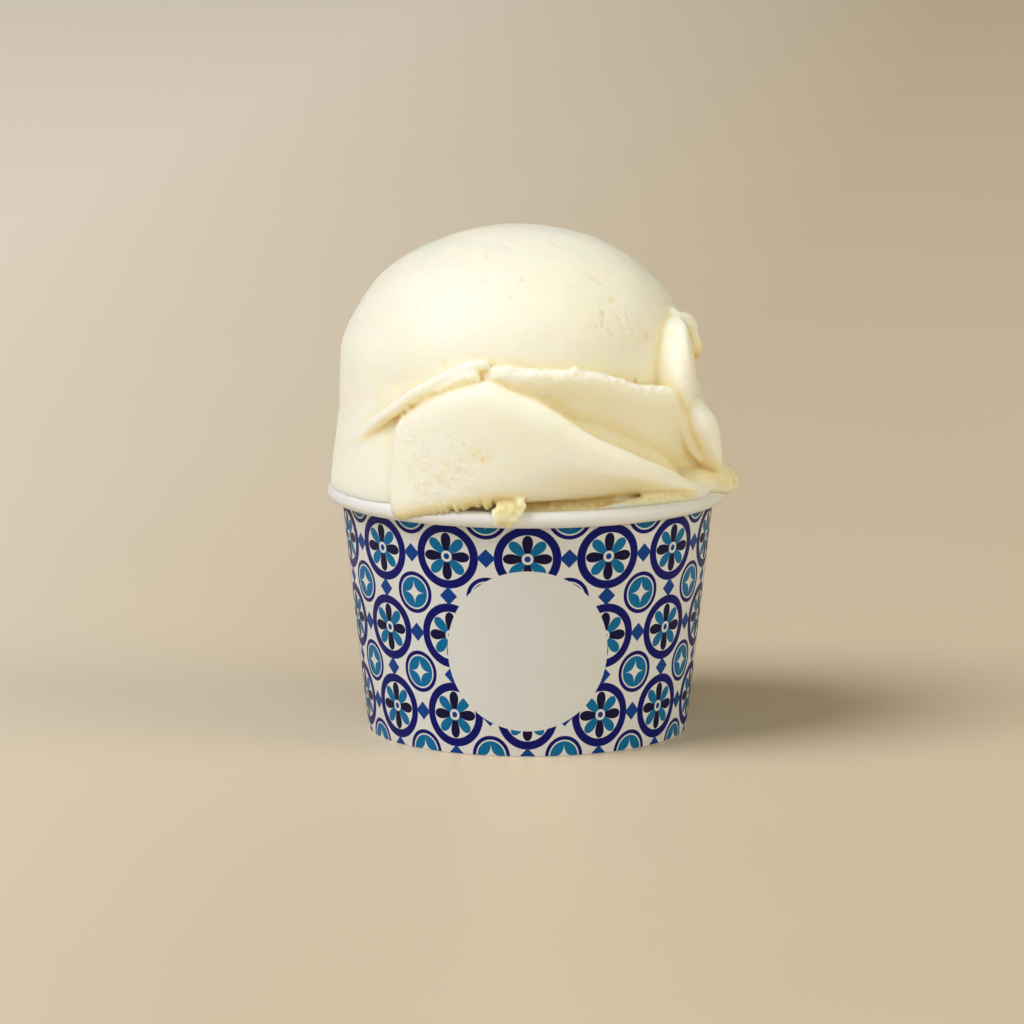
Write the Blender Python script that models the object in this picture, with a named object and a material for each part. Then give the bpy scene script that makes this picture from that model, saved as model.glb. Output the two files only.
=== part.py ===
"""A heaped cup of gelato: a rolled-rim paper cup, its recessed base and one mound of folded gelato.

Z is up and the cup's axis is the Z axis. The cup stands on the ground plane, and its front is -Y.
Azimuths are in degrees, from the front (-Y) towards the right (+X).
"""

import math

import bmesh
import bpy
from mathutils import Vector

MM = 0.001

# The paper cup.
RIM_RADIUS = 42.5 * MM  # over the outside of the rolled rim
CUP_HEIGHT = 52.8 * MM
FOOT_RADIUS = 34.0 * MM
WALL_LEAN = 0.11  # outward travel of the wall for each unit of height
BOARD = 0.5 * MM
ROLL_RADIUS = 1.7 * MM  # of the rim's roll, over the board
ROLL_TURN = 300  # degrees of curl from the inner face of the wall
ROLL_STEPS = 9
FOLD_HEIGHT = 5.4 * MM  # of the strip turned up inside the foot
FIT_GAP = 0.3 * MM  # between layers that touch
BASE_RECESS = 6.0 * MM  # height of the underside of the base
FLANGE_BOTTOM = 1.0 * MM
ROUND_STEPS = 48

ROLL_CENTRE = (RIM_RADIUS - ROLL_RADIUS, CUP_HEIGHT - ROLL_RADIUS)

# The gelato.
FILL_GAP = 0.35 * MM  # between the gelato and the cup
FILL_BOTTOM = BASE_RECESS + BOARD + FILL_GAP
DOME_TOP = 107.3 * MM
DOME_MIDDLE = 78.0 * MM  # height where the dome is widest
DOME_RADIUS = 36.8 * MM
DOME_SHIFT = Vector((-2.9, 0.5, 0.0)) * MM  # of the dome's axis from the cup's
DOME_POWER = 2.0  # 2 is an ellipse, and more is squarer
DOME_STEPS = 9

CREAM = (0.90, 0.84, 0.62)
WHITE_BOARD = (0.86, 0.84, 0.79)
PRINTED_BOARD = (0.42, 0.50, 0.62)


def clear_scene():
    for thing in list(bpy.data.objects):
        bpy.data.objects.remove(thing)


def material(name, colour, roughness):
    made = bpy.data.materials.new(name)
    made.use_nodes = True
    shader = made.node_tree.nodes["Principled BSDF"]
    shader.inputs["Base Color"].default_value = (*colour, 1.0)
    shader.inputs["Roughness"].default_value = roughness
    shader.inputs["Metallic"].default_value = 0.0
    return made


def mesh_object(name, bm, finish, smooth_degrees=40):
    bmesh.ops.recalc_face_normals(bm, faces=bm.faces)
    mesh = bpy.data.meshes.new(name)
    bm.to_mesh(mesh)
    bm.free()
    mesh.shade_smooth()
    mesh.set_sharp_from_angle(angle=math.radians(smooth_degrees))
    mesh.materials.append(finish)
    thing = bpy.data.objects.new(name, mesh)
    bpy.context.scene.collection.objects.link(thing)
    return thing


def helper(thing):
    """Marks an object that only cuts or adds to another."""
    thing.hide_render = True
    thing.display_type = "WIRE"
    return thing


def combine(thing, other, operation):
    joint = thing.modifiers.new(f"{operation.lower()}_{other.name}", "BOOLEAN")
    joint.operation = operation
    joint.solver = "EXACT"
    joint.object = other


# ---------------------------------------------------------------- turned shapes


def arc(centre, radius, start, end, steps):
    """Points of an arc in the (radius, height) plane, with its angles in degrees from +radius."""
    return [
        (
            centre[0] + radius * math.cos(math.radians(start + (end - start) * i / steps)),
            centre[1] + radius * math.sin(math.radians(start + (end - start) * i / steps)),
        )
        for i in range(steps + 1)
    ]


def turned(outline, closed):
    """The outline of (radius, height) points, spun once round Z. An open outline ends on the axis."""
    bm = bmesh.new()
    corners = [bm.verts.new((0.0, -r, z)) for r, z in outline]
    pairs = list(zip(corners, corners[1:]))
    if closed:
        pairs.append((corners[-1], corners[0]))
    edges = [bm.edges.new(pair) for pair in pairs]
    bmesh.ops.spin(
        bm, geom=corners + edges, cent=(0, 0, 0), axis=(0, 0, 1), angle=math.tau, steps=ROUND_STEPS, use_merge=True
    )
    bmesh.ops.remove_doubles(bm, verts=bm.verts, dist=1e-6)
    return bm


def wall_outside(z):
    return FOOT_RADIUS + WALL_LEAN * z


def make_wall(finish):
    """The side of the cup: one strip of board, curled outward into the rim and turned inward at the foot."""
    outer_roll = arc(ROLL_CENTRE, ROLL_RADIUS, 180, 180 - ROLL_TURN, ROLL_STEPS)
    inner_roll = arc(ROLL_CENTRE, ROLL_RADIUS - BOARD, 180 - ROLL_TURN, 180, ROLL_STEPS)
    fold_outside = FOOT_RADIUS - 2 * BOARD - 2 * FIT_GAP
    toe = 0.5 * BOARD
    outline = [
        *outer_roll,
        *inner_roll[:-1],
        (wall_outside(ROLL_CENTRE[1]), ROLL_CENTRE[1]),
        (wall_outside(toe), toe),
        (FOOT_RADIUS - toe, 0.0),
        (fold_outside - BOARD + toe, 0.0),
        (fold_outside - BOARD, toe),
        (fold_outside - BOARD + WALL_LEAN * FOLD_HEIGHT, FOLD_HEIGHT),
        (fold_outside + WALL_LEAN * FOLD_HEIGHT, FOLD_HEIGHT),
        (fold_outside, BOARD),
        (wall_outside(BOARD) - BOARD, BOARD),
    ]
    return mesh_object("cup_wall", turned(outline, closed=True), finish)


def make_base(finish):
    """The disc that closes the cup, with its edge turned down between the wall and the fold at the foot."""
    top = BASE_RECESS + BOARD
    outside_top = wall_outside(top) - BOARD - FIT_GAP
    outside_bottom = wall_outside(FLANGE_BOTTOM) - BOARD - FIT_GAP
    corner = BOARD
    outline = [
        (0.0, top),
        (outside_top - corner, top),
        (outside_top, top - corner),
        (outside_bottom, FLANGE_BOTTOM),
        (outside_bottom - BOARD, FLANGE_BOTTOM),
        (outside_top - BOARD, BASE_RECESS),
        (0.0, BASE_RECESS),
    ]
    return mesh_object("cup_base", turned(outline, closed=False), finish)


# ---------------------------------------------------------------- the gelato


def through(x, knots):
    """A smooth curve through the (position, value) knots, read at x. It is level past the ends."""
    if x <= knots[0][0]:
        return knots[0][1]
    if x >= knots[-1][0]:
        return knots[-1][1]
    i = max(k for k in range(len(knots) - 1) if knots[k][0] <= x)

    def slope(k):
        before, after = knots[max(k - 1, 0)], knots[min(k + 1, len(knots) - 1)]
        return (after[1] - before[1]) / (after[0] - before[0])

    (x0, y0), (x1, y1) = knots[i], knots[i + 1]
    width = x1 - x0
    t = (x - x0) / width
    return (
        y0 * (2 * t**3 - 3 * t**2 + 1)
        + y1 * (3 * t**2 - 2 * t**3)
        + width * (slope(i) * (t**3 - 2 * t**2 + t) + slope(i + 1) * (t**3 - t**2))
    )


def at(azimuth, radius, z):
    """A point from its azimuth in degrees, its distance from the cup's axis and its height, both in mm."""
    turn = math.radians(azimuth)
    return Vector((radius * math.sin(turn), -radius * math.cos(turn), z)) * MM


def shaped_ball(name, around, along, place, finish):
    """A ball whose points are moved by place(turn, travel): the turn round its pole axis, in radians,
    and the travel from one pole, 0, to the other, 1."""
    bm = bmesh.new()
    bmesh.ops.create_uvsphere(bm, u_segments=around, v_segments=along, radius=1.0)
    for v in bm.verts:
        travel = math.acos(max(-1.0, min(1.0, v.co.z))) / math.pi
        v.co = place(math.atan2(v.co.y, v.co.x), travel)
    return helper(mesh_object(name, bm, finish))


def bulged(value, power):
    """The cosine or sine of a superellipse: 1 keeps a round section, and more than 2 squares it up."""
    return math.copysign(abs(value) ** (2.0 / power), value)


def band(name, ends, low, high, outside, lean, depth, rounding, around, along, finish, blunt=4.0):
    """A fold of gelato laid round the mound between two azimuths.

    low, high and outside are knots over the azimuth: the heights of its edges and the radius that it
    reaches. lean is how far its top stands out past its bottom, depth is its whole thickness, and
    rounding is how square its upper and its lower edges are. blunt does the same for its two ends.
    """

    def place(turn, travel):
        azimuth = ends[0] + (ends[1] - ends[0]) * travel
        middle = (through(azimuth, low) + through(azimuth, high)) / 2
        half = (through(azimuth, high) - through(azimuth, low)) / 2
        taper = (1 - abs(2 * travel - 1) ** blunt) ** (1 / 2.2)
        power = rounding[0] if math.sin(turn) > 0 else rounding[1]
        up = bulged(math.sin(turn), power) * taper
        out = bulged(math.cos(turn), power) * taper
        radius = through(azimuth, outside) - depth / 2 + out * depth / 2 + lean / 2 * up
        return at(azimuth, radius, middle + half * up)

    return shaped_ball(name, around, along, place, finish)


def rope(name, path, around, along, finish, flatness=1.0):
    """A ridge of gelato along a path of (azimuth, radius, height, thickness) knots, in degrees and mm."""
    last = len(path) - 1

    def on_path(travel, which):
        return through(travel * last, [(i, knot[which]) for i, knot in enumerate(path)])

    def place(turn, travel):
        centre = at(on_path(travel, 0), on_path(travel, 1), on_path(travel, 2))
        ahead = at(*(on_path(min(travel + 0.01, 1.0), k) for k in range(3)))
        behind = at(*(on_path(max(travel - 0.01, 0.0), k) for k in range(3)))
        way = (ahead - behind).normalized()
        outward = Vector((centre.x, centre.y, 0.0)).normalized()
        side = way.cross(outward).normalized()
        outward = side.cross(way)
        taper = (1 - abs(2 * travel - 1) ** 4) ** 0.5
        thick = on_path(travel, 3) / 2 * taper * MM
        return centre + side * (thick * math.cos(turn)) + outward * (thick * flatness * math.sin(turn))

    return shaped_ball(name, around, along, place, finish)


def make_heart(finish):
    """The body of the mound: it fills the cup, narrows inside the rim and rises into the dome."""
    inside = BOARD + FILL_GAP
    dome_height = DOME_TOP - DOME_MIDDLE
    outline = [
        (0.0, FILL_BOTTOM),
        (wall_outside(FILL_BOTTOM) - inside - 1.0 * MM, FILL_BOTTOM),
        (wall_outside(FILL_BOTTOM) - inside, FILL_BOTTOM + 1.0 * MM),
        (wall_outside(28 * MM) - inside, 28.0 * MM),
        (wall_outside(48 * MM) - inside, 48.0 * MM),
        (37.4 * MM, 53.0 * MM),
        (37.5 * MM, 58.0 * MM),
        (37.5 * MM, 64.0 * MM),
        (37.4 * MM, 71.0 * MM),
    ]
    for i in range(DOME_STEPS + 1):
        rise = math.radians(90 * i / DOME_STEPS)
        outline.append(
            (
                DOME_RADIUS * bulged(math.cos(rise), DOME_POWER) if i < DOME_STEPS else 0.0,
                DOME_MIDDLE + dome_height * bulged(math.sin(rise), DOME_POWER),
            )
        )
    bm = turned(outline, closed=False)
    for v in bm.verts:
        height = v.co.z / MM
        v.co += DOME_SHIFT * through(height, [(50, 0.0), (58, 0.5), (66, 1.0), (98, 1.0), (108, 0.5)])
    return mesh_object("gelato", bm, finish)


def make_folds(finish):
    """The folds that a spatula leaves: each is a band or a ridge laid over the body of the mound."""
    shoulder = band(
        "shoulder",
        ends=(-34, -215),
        low=[(-215, 51.6), (-34, 50.9)],
        high=[(-215, 74.0), (-150, 78.0), (-90, 80.0), (-60, 78.0), (-34, 72.0)],
        outside=[(-215, 40.6), (-150, 41.2), (-90, 41.1), (-60, 41.4), (-34, 41.4)],
        lean=-2.6,
        depth=9.0,
        rounding=(2.2, 7.0),
        around=14,
        along=24,
        finish=finish,
        blunt=14.0,
    )
    shelf = band(
        "shelf",
        ends=(-16, 74),
        low=[(-16, 60.0), (74, 53.0)],
        high=[(-16, 81.4), (1, 82.2), (23, 81.8), (34, 80.6), (44, 78.8), (52, 76.0), (60, 70.6), (74, 60.0)],
        outside=[(-16, 38.2), (10, 38.6), (35, 38.7), (50, 38.6), (74, 38.4)],
        lean=0.6,
        depth=9.0,
        rounding=(5.0, 3.0),
        around=14,
        along=20,
        finish=finish,
    )
    leaf = band(
        "leaf",
        ends=(-46, 68),
        low=[(-46, 49.6), (-32, 50.4), (-20, 51.6), (-6, 53.0), (21, 54.8), (40, 55.0), (68, 53.8)],
        high=[(-46, 67.4), (-29, 74.9), (-21, 78.6), (-12, 80.1), (-5, 79.4), (4, 76.8), (28, 67.4), (68, 54.4)],
        outside=[(-46, 43.0), (-30, 43.7), (0, 43.6), (30, 43.0), (68, 42.0)],
        lean=-1.8,
        depth=12.0,
        rounding=(2.7, 3.6),
        around=18,
        along=28,
        finish=finish,
        blunt=12.0,
    )
    wrap = band(
        "wrap",
        ends=(70, 232),
        low=[(70, 52.8), (100, 52.4), (232, 52.0)],
        high=[(70, 70.0), (90, 77.0), (120, 83.0), (160, 85.0), (200, 82.0), (232, 74.0)],
        outside=[(70, 38.2), (90, 38.6), (130, 39.6), (180, 40.0), (232, 39.8)],
        lean=-5.0,
        depth=10.0,
        rounding=(2.6, 5.0),
        around=14,
        along=22,
        finish=finish,
    )
    back_leaf = band(
        "back_leaf",
        ends=(98, 242),
        low=[(98, 52.4), (242, 51.0)],
        high=[(98, 55.0), (125, 60.0), (160, 69.0), (190, 76.0), (212, 75.0), (242, 62.0)],
        outside=[(98, 42.2), (130, 42.9), (180, 43.5), (242, 42.6)],
        lean=-1.8,
        depth=12.0,
        rounding=(2.7, 3.6),
        around=16,
        along=22,
        finish=finish,
    )
    lip = rope(
        "lip",
        path=[
            (-84, 39.4, 57.6, 2.0),
            (-68, 39.7, 64.0, 2.4),
            (-55, 39.7, 68.6, 2.6),
            (-42, 39.1, 73.4, 3.0),
            (-30, 38.4, 77.4, 3.4),
            (-21, 37.8, 80.6, 3.8),
            (-12, 36.7, 82.6, 3.8),
        ],
        around=10,
        along=24,
        finish=finish,
    )
    curl = rope(
        "curl",
        path=[
            (65, 31.0, 91.6, 5.0),
            (62, 33.6, 86.5, 8.2),
            (60.5, 35.0, 79.5, 8.6),
            (63, 35.6, 73.5, 6.0),
            (67.5, 38.4, 69.3, 6.4),
            (70, 39.6, 63.5, 7.0),
            (71, 40.2, 57.0, 6.2),
        ],
        around=12,
        along=24,
        finish=finish,
    )
    tail = rope(
        "tail",
        path=[
            (58, 39.0, 57.6, 5.4),
            (68, 40.6, 56.2, 5.8),
            (78, 41.6, 54.4, 5.2),
            (88, 41.9, 53.0, 4.4),
            (98, 41.4, 53.2, 3.4),
        ],
        around=10,
        along=12,
        finish=finish,
    )
    knob = rope(
        "knob",
        path=[(86, 33.0, 84.2, 4.6), (89, 34.7, 81.8, 5.4), (92, 34.2, 79.2, 4.4)],
        around=8,
        along=8,
        finish=finish,
    )
    drip = rope(
        "drip",
        path=[(-5.5, 41.4, 55.6, 7.0), (-5.0, 42.8, 53.2, 5.4), (-4.0, 43.3, 51.2, 3.0)],
        around=8,
        along=8,
        finish=finish,
        flatness=0.7,
    )
    return [shoulder, wrap, back_leaf, shelf, leaf, lip, curl, tail, knob, drip]


def make_rim_clearance(finish):
    """The room that the rolled rim takes out of the gelato that lies over it."""
    sides = 16
    reach = (ROLL_RADIUS + FILL_GAP) / math.cos(math.pi / sides)
    ring = arc(ROLL_CENTRE, reach, 0, 360, sides)[:-1]
    return helper(mesh_object("rim_clearance", turned(ring, closed=True), finish))


def make_gelato(finish):
    heart = make_heart(finish)
    for fold in make_folds(finish):
        combine(heart, fold, "UNION")
    combine(heart, make_rim_clearance(finish), "DIFFERENCE")
    return heart


def main():
    clear_scene()
    make_wall(material("printed board", PRINTED_BOARD, 0.5))
    make_base(material("white board", WHITE_BOARD, 0.55))
    make_gelato(material("gelato", CREAM, 0.45))


main()
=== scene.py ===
# %% [markdown]
# # A heaped cup of gelato
#
# The object is a small paper cup with a rolled rim, heaped with pale cream gelato that a flat spatula
# has laid on in folds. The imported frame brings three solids: the wall of the cup, its base and the
# gelato. They are right in size and plain in looks, so each gets a finely modelled piece that stands
# for it here, and then the finish of its surface.
#
# Lengths are in metres. Z is up, the front of the cup is -Y, and azimuths run from the front towards
# the right, which is +X.

# %% Load the frame
import math

import bmesh
import bpy
import numpy as np
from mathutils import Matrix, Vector, noise
from mathutils.bvhtree import BVHTree


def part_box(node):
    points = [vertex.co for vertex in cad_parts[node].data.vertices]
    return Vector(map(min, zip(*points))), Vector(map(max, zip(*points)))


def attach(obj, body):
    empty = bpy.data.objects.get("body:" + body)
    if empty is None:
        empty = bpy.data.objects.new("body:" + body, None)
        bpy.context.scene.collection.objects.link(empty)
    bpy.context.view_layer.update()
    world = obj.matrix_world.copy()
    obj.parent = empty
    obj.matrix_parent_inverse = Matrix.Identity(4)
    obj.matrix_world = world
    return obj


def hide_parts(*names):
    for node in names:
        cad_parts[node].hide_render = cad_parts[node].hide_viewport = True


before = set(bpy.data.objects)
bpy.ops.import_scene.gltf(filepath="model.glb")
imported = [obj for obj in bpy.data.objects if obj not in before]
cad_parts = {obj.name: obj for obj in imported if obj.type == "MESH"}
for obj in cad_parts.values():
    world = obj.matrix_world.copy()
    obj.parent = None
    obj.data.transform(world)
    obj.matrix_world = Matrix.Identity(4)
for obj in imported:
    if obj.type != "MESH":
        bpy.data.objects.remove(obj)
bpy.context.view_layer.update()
MM = 0.001

for node_name in sorted(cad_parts):
    low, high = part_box(node_name)
    print(node_name, "measures", [round((high[k] - low[k]) / MM, 1) for k in range(3)], "mm")

# %% [markdown]
# ## The measures of the cup
#
# The rim's width and the cup's height are read from the frame, so that this script follows the solids.
# The solids are faceted, and rounding to a tenth of a millimetre gives the true curve's measure back.
# The rest is how such a cup is made: half-millimetre board, a rim rolled outward into a tube, and a
# base that sits a little above the foot.

# %% Measures
wall_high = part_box("cup_wall")[1]
RIM_RADIUS = round(wall_high.x, 4)
CUP_HEIGHT = round(wall_high.z, 4)
FOOT_RADIUS = 34.0 * MM
WALL_LEAN = 0.11  # outward travel of the wall for each unit of height
BOARD = 0.5 * MM
ROLL_RADIUS = 1.7 * MM
ROLL_CENTRE = (RIM_RADIUS - ROLL_RADIUS, CUP_HEIGHT - ROLL_RADIUS)
BASE_RECESS = 6.0 * MM
print(f"rim {RIM_RADIUS / MM:.1f} mm in radius, cup {CUP_HEIGHT / MM:.1f} mm high")

# %% [markdown]
# ## The camera
#
# A long lens looks down on the cup from a little over a metre away. Such a lens flattens perspective,
# which keeps the ellipse of the rim slim. The camera is placed by its distance and elevation about the
# middle of the foot, and then aimed by two small angles, so that the heap has room above it.

# %% Camera
CAMERA_DISTANCE = 1.1777
CAMERA_ELEVATION = math.radians(11.638)
LOOK_DOWN = math.radians(9.427)
LOOK_LEFT = math.radians(0.165)

camera_data = bpy.data.cameras.new("camera")
camera_data.lens = 193.23
camera = bpy.data.objects.new("camera", camera_data)
bpy.context.scene.collection.objects.link(camera)
camera_height = CAMERA_DISTANCE * math.sin(CAMERA_ELEVATION)
camera.location = (0.0, -CAMERA_DISTANCE * math.cos(CAMERA_ELEVATION), camera_height)
level = math.cos(LOOK_DOWN)
gaze = Vector((-math.sin(LOOK_LEFT) * level, math.cos(LOOK_LEFT) * level, -math.sin(LOOK_DOWN)))
camera.rotation_euler = gaze.to_track_quat("-Z", "Y").to_euler()
bpy.context.scene.camera = camera
print("camera at", [round(x, 3) for x in camera.location])

# %% [markdown]
# ## Small helpers
#
# Some things are needed again and again: a colour given as it looks on a screen, a bmesh turned into an
# object, and shader nodes with their settings and links made in one line. Blender mixes light in linear
# values, so the first one undoes the screen's curve.


# %% Helpers
def screen_colour(red, green, blue):
    """A colour from 0 to 255 for each channel, as linear values with alpha."""
    channels = (c / 255 for c in (red, green, blue))
    return (*(c / 12.92 if c <= 0.04045 else ((c + 0.055) / 1.055) ** 2.4 for c in channels), 1.0)


def new_object(name, bm):
    mesh = bpy.data.meshes.new(name)
    bm.to_mesh(mesh)
    bm.free()
    mesh.shade_smooth()
    made = bpy.data.objects.new(name, mesh)
    bpy.context.scene.collection.objects.link(made)
    return made


def add_node(tree, kind, settings=None, **inputs):
    """A node with its settings, and each input named in words given a value or linked to a socket."""
    made = tree.nodes.new(kind)
    for key, value in (settings or {}).items():
        setattr(made, key, value)
    for key, value in inputs.items():
        wanted = made.inputs[key.replace("_", " ")]
        if isinstance(value, bpy.types.NodeSocket):
            tree.links.new(value, wanted)
        else:
            wanted.default_value = value
    return made


def maths(tree, operation, *values, clamp=False):
    """The result of a Math node on sockets and plain numbers."""
    made = tree.nodes.new("ShaderNodeMath")
    made.operation = operation
    made.use_clamp = clamp
    for socket, value in zip(made.inputs, values):
        if isinstance(value, bpy.types.NodeSocket):
            tree.links.new(value, socket)
        else:
            socket.default_value = value
    return made.outputs[0]


def noise_field(tree, place, scale, detail, **inputs):
    """Noise read at a place, as a socket."""
    made = add_node(tree, "ShaderNodeTexNoise", Vector=place, Scale=scale, Detail=detail, **inputs)
    return made.outputs["Fac"]


def spread(tree, field, least, most):
    """Noise, which is mostly from 0.3 to 0.7, brought to the range from least to most."""
    ends = {"From_Min": 0.3, "From_Max": 0.7, "To_Min": least, "To_Max": most}
    return add_node(tree, "ShaderNodeMapRange", Value=field, **ends).outputs["Result"]


def new_material(name, **settings):
    """A material with a Principled shader, whose constant sockets are set by name."""
    made = bpy.data.materials.new(name)
    made.use_nodes = True
    shader = made.node_tree.nodes["Principled BSDF"]
    for key, value in settings.items():
        shader.inputs[key.replace("_", " ")].default_value = value
    return made, made.node_tree, shader


# %% [markdown]
# ## Floor and light
#
# A plain pale floor with a faint gloss carries the cup. Its colour holds painted light: it is painted paler
# toward the back and the left, as a lamp far off on the left would light it. One very large soft lamp stands
# high on the left and a little in front, so that a short blurred shade falls to the right. It is far off, so
# that the floor is lit as well behind the cup as under it. A warm lamp on the right, a weak one in front and
# a warm room fill the shade.

# %% Floor
FLOOR_COLOUR = screen_colour(217, 201, 174)
FLOOR_CLOUD = screen_colour(222, 206, 181)
# The pale far tone and the two rates below paint light onto the floor, paler to the left and the back.
FLOOR_PAINTED_LIGHT = screen_colour(252, 244, 229)
PAINTED_LIGHT_LEFT = 3.2  # how fast the floor grows paler, for each metre
PAINTED_LIGHT_BACK = 0.38
FLOOR_SIZE = 8.0
floor_bm = bmesh.new()
bmesh.ops.create_grid(floor_bm, x_segments=2, y_segments=2, size=FLOOR_SIZE)
floor = new_object("floor", floor_bm)
floor_finish, tree, shader = new_material("pale floor", Roughness=0.42, Specular_IOR_Level=0.25)
place = add_node(tree, "ShaderNodeTexCoord").outputs["Object"]
cloudy = noise_field(tree, place, 7.0, 2.0)
floor_tone = add_node(tree, "ShaderNodeMix", {"data_type": "RGBA"}, Factor=cloudy)
floor_tone.inputs["A"].default_value = FLOOR_COLOUR
floor_tone.inputs["B"].default_value = FLOOR_CLOUD
split = add_node(tree, "ShaderNodeSeparateXYZ", Vector=place)
# Painted light: the floor's colour is mixed toward a paler tone to the left and the back.
farther = maths(tree, "MULTIPLY", split.outputs["Y"], PAINTED_LIGHT_BACK)
paler = maths(tree, "MULTIPLY_ADD", split.outputs["X"], -PAINTED_LIGHT_LEFT, farther, clamp=True)
floor_tone_with_painted_light = add_node(tree, "ShaderNodeMix", {"data_type": "RGBA"}, Factor=paler)
tree.links.new(floor_tone.outputs["Result"], floor_tone_with_painted_light.inputs["A"])
floor_tone_with_painted_light.inputs["B"].default_value = FLOOR_PAINTED_LIGHT
tree.links.new(floor_tone_with_painted_light.outputs["Result"], shader.inputs["Base Color"])
floor.data.materials.append(floor_finish)
print("floor", floor.dimensions[:2])

# %% Lights
LAMP_AIM = Vector((0.0, 0.0, 0.06))


def soft_lamp(name, place, size, power, colour):
    data = bpy.data.lights.new(name, "AREA")
    data.shape = "DISK"
    data.size = size
    data.energy = power
    data.color = colour
    lamp = bpy.data.objects.new(name, data)
    bpy.context.scene.collection.objects.link(lamp)
    lamp.location = place
    lamp.rotation_euler = (LAMP_AIM - Vector(place)).to_track_quat("-Z", "Y").to_euler()
    return lamp


soft_lamp("key_lamp", (-5.1, -2.3, 7.0), 5.4, 643.0, (0.99, 0.985, 1.0))
soft_lamp("right_fill", (5.0, -2.0, 3.0), 4.5, 125.0, (1.0, 0.95, 0.74))
soft_lamp("front_fill", (1.0, -6.0, 3.0), 4.5, 102.0, (0.97, 0.98, 1.0))

room = bpy.data.worlds.new("room")
room.use_nodes = True
room.node_tree.nodes["Background"].inputs["Color"].default_value = screen_colour(255, 236, 200)
room.node_tree.nodes["Background"].inputs["Strength"].default_value = 0.15
bpy.context.scene.world = room
bpy.context.scene.view_settings.view_transform = "Standard"

# %% [markdown]
# ## The wall of the cup
#
# The wall is one strip of board, wrapped into a cone and glued along a side seam. Its top is curled
# outward into the rim, and its bottom is folded in and up, to hold the base. A section spun round the
# axis gives all of that in one operator. The section is drawn with arcs where the board bends.


# %% The section of the wall
def arc(centre, radius, start, end, steps):
    """Points of an arc in the (radius, height) plane, with its angles in degrees from +radius."""
    turns = [math.radians(start + (end - start) * i / steps) for i in range(steps + 1)]
    return [(centre[0] + radius * math.cos(t), centre[1] + radius * math.sin(t)) for t in turns]


def wall_outside(z):
    return FOOT_RADIUS + WALL_LEAN * z


ROLL_TURN = 300  # degrees of the tube that the rim is rolled into
FOLD_HEIGHT = 5.4 * MM
FIT_GAP = 0.3 * MM
fold_outside = FOOT_RADIUS - 2 * BOARD - 2 * FIT_GAP
toe = 0.5 * BOARD  # radius of the bends at the foot

outer_roll = arc(ROLL_CENTRE, ROLL_RADIUS, 180, 180 - ROLL_TURN, 30)
inner_roll = arc(ROLL_CENTRE, ROLL_RADIUS - BOARD, 180 - ROLL_TURN, 180, 24)
print_top = wall_outside(ROLL_CENTRE[1]), ROLL_CENTRE[1]
print_bottom = wall_outside(2 * toe), 2 * toe
outside = [
    tuple(a + (b - a) * i / 12 for a, b in zip(print_top, print_bottom))
    for i in range(13)
]
foot_turn = arc((FOOT_RADIUS - toe, toe), toe, 0, -90, 4)[1:]
fold_turn = arc((fold_outside - BOARD + toe, toe), toe, -90, -180, 4)
section = [
    *outer_roll,
    *inner_roll[:-1],
    *outside,
    *foot_turn,
    *fold_turn,
    (fold_outside - BOARD + WALL_LEAN * FOLD_HEIGHT, FOLD_HEIGHT),
    (fold_outside + WALL_LEAN * FOLD_HEIGHT, FOLD_HEIGHT),
    (fold_outside, BOARD),
    (wall_outside(BOARD) - BOARD, BOARD),
]
print("the section has", len(section), "points")

# %% [markdown]
# The print wants a flat map of the board: across for the azimuth, up for the way along the section. The
# way is stored on the section's corners before the spin, which carries it round, and the azimuth of each
# face follows from where it is. The map's cut is at the back, where the board's own ends meet.

# %% Spin the wall
WALL_STEPS = 192
UV_NAME = "OFBake"


def spin_round(bm, drawn, steps):
    """Spins corners and edges once round Z, and closes the seam and the poles."""
    bmesh.ops.spin(
        bm, geom=drawn, cent=(0, 0, 0), axis=(0, 0, 1), angle=math.tau, steps=steps, use_merge=True
    )
    bmesh.ops.remove_doubles(bm, verts=bm.verts, dist=1e-6)


def spun(outline, closed, steps):
    """(radius, height) points spun once round Z, which keep their share of the way along."""
    bm = bmesh.new()
    way = bm.verts.layers.float.new("way")
    corners = [bm.verts.new((0.0, r, z)) for r, z in outline]
    lengths = [0.0] + [(b.co - a.co).length for a, b in zip(corners, corners[1:])]
    travelled = np.cumsum(lengths) / np.sum(lengths)
    for corner, share in zip(corners, travelled):
        corner[way] = share
    pairs = list(zip(corners, corners[1:]))
    if closed:
        pairs.append((corners[-1], corners[0]))
    edges = [bm.edges.new(pair) for pair in pairs]
    spin_round(bm, corners + edges, steps)
    bmesh.ops.recalc_face_normals(bm, faces=bm.faces)
    return bm, way


def azimuth_of(point):
    return math.degrees(math.atan2(point.x, -point.y))


def unroll(bm, way):
    """A map with the azimuth across and the way along the section up."""
    uv = bm.loops.layers.uv.new(UV_NAME)
    for face in bm.faces:
        middle = azimuth_of(face.calc_center_median())
        for loop in face.loops:
            azimuth = azimuth_of(loop.vert.co)
            azimuth += 360 * round((middle - azimuth) / 360)
            loop[uv].uv = (0.5 + azimuth / 360, loop.vert[way])


wall_bm, way = spun(section, True, WALL_STEPS)
unroll(wall_bm, way)
print("the wall has", len(wall_bm.faces), "faces")

# %% [markdown]
# At the seam one end of the board lies over the other, so the outside steps out by the board's
# thickness along one line and eases back over the width of the glued strip. The points of one column
# are drawn close to their neighbours to make the step crisp.

# %% The side seam
SEAM_AZIMUTH = 172.5
SEAM_STEP = 0.4 * MM
SEAM_EASE = 22.0  # degrees over which the outer layer comes down to the single board
COLUMN = 360 / WALL_STEPS
seam_edge = round(SEAM_AZIMUTH / COLUMN) * COLUMN


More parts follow.
